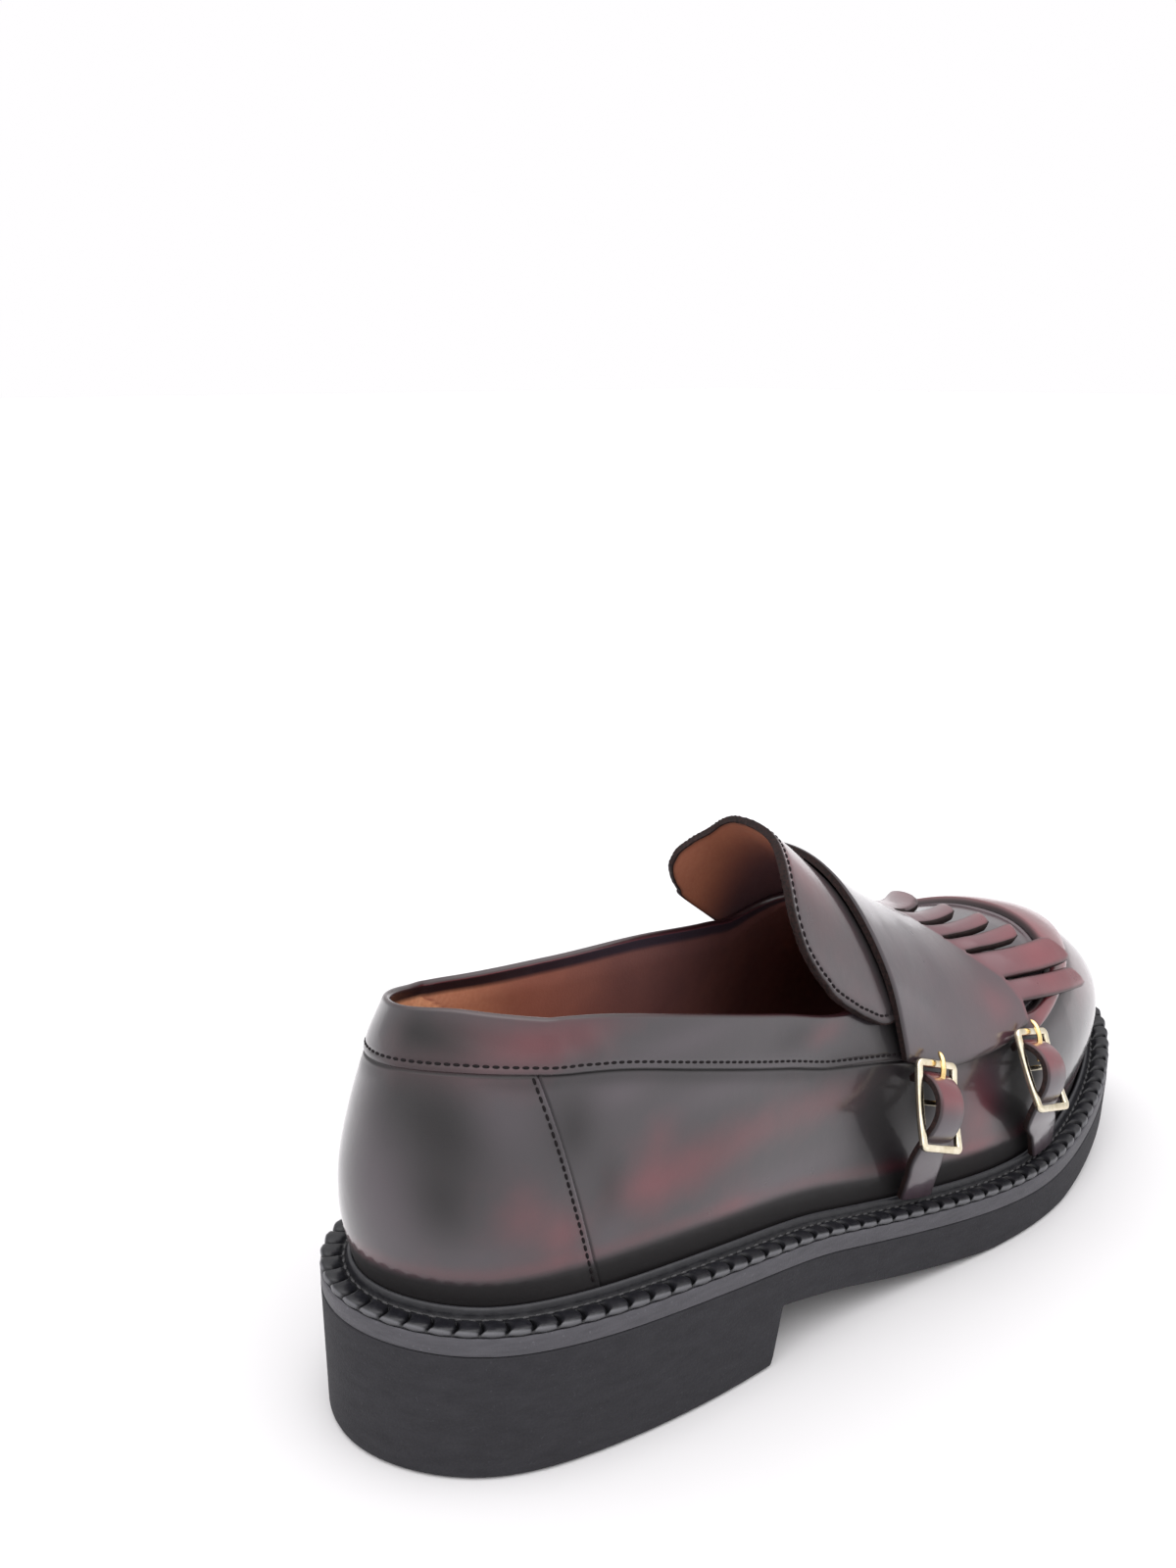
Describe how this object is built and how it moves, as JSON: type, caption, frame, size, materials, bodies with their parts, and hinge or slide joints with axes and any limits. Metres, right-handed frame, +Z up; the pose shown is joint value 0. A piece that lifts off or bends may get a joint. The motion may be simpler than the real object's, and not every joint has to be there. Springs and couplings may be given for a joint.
{
  "type": "fringed moccasin",
  "caption": "Right slip-on shoe with a high tongue, a fringed saddle held by side straps with frame buckles, a gimped welt and a low heel.",
  "frame": {"origin": "on the floor under the middle of the whole shoe's bounding box, buckles included", "axes": "+Y from the heel to the toe, +X to the outer side of the right foot, +Z up"},
  "size_m": [0.102, 0.2831, 0.1247],
  "materials": {
    "outsole": "matte charcoal foam rubber",
    "midsole": "smooth satin grey band",
    "welt": "glossy black, gimped",
    "insole": "tan leather sock",
    "upper": "brushed-off polished burgundy to black",
    "tongue": "brushed-off polished burgundy to black",
    "saddle": "brushed-off polished burgundy, raw dark edges",
    "strap_rear": "brushed-off polished burgundy, raw dark edges",
    "strap_front": "brushed-off polished burgundy, raw dark edges",
    "buckle_rear": "pale gold plated, polished",
    "buckle_front": "pale gold plated, polished",
    "prong_rear": "gold plated, polished",
    "prong_front": "gold plated, polished"
  },
  "bodies": {
    "root": {"outsole": "outsole", "midsole": "midsole", "welt": "welt", "insole": "insole", "upper": "upper", "tongue": "tongue", "saddle": "saddle", "strap_rear": "strap_rear", "strap_front": "strap_front", "buckle_rear": "buckle_rear", "buckle_front": "buckle_front", "prong_rear": "prong_rear", "prong_front": "prong_front"}
  },
  "joints": []
}
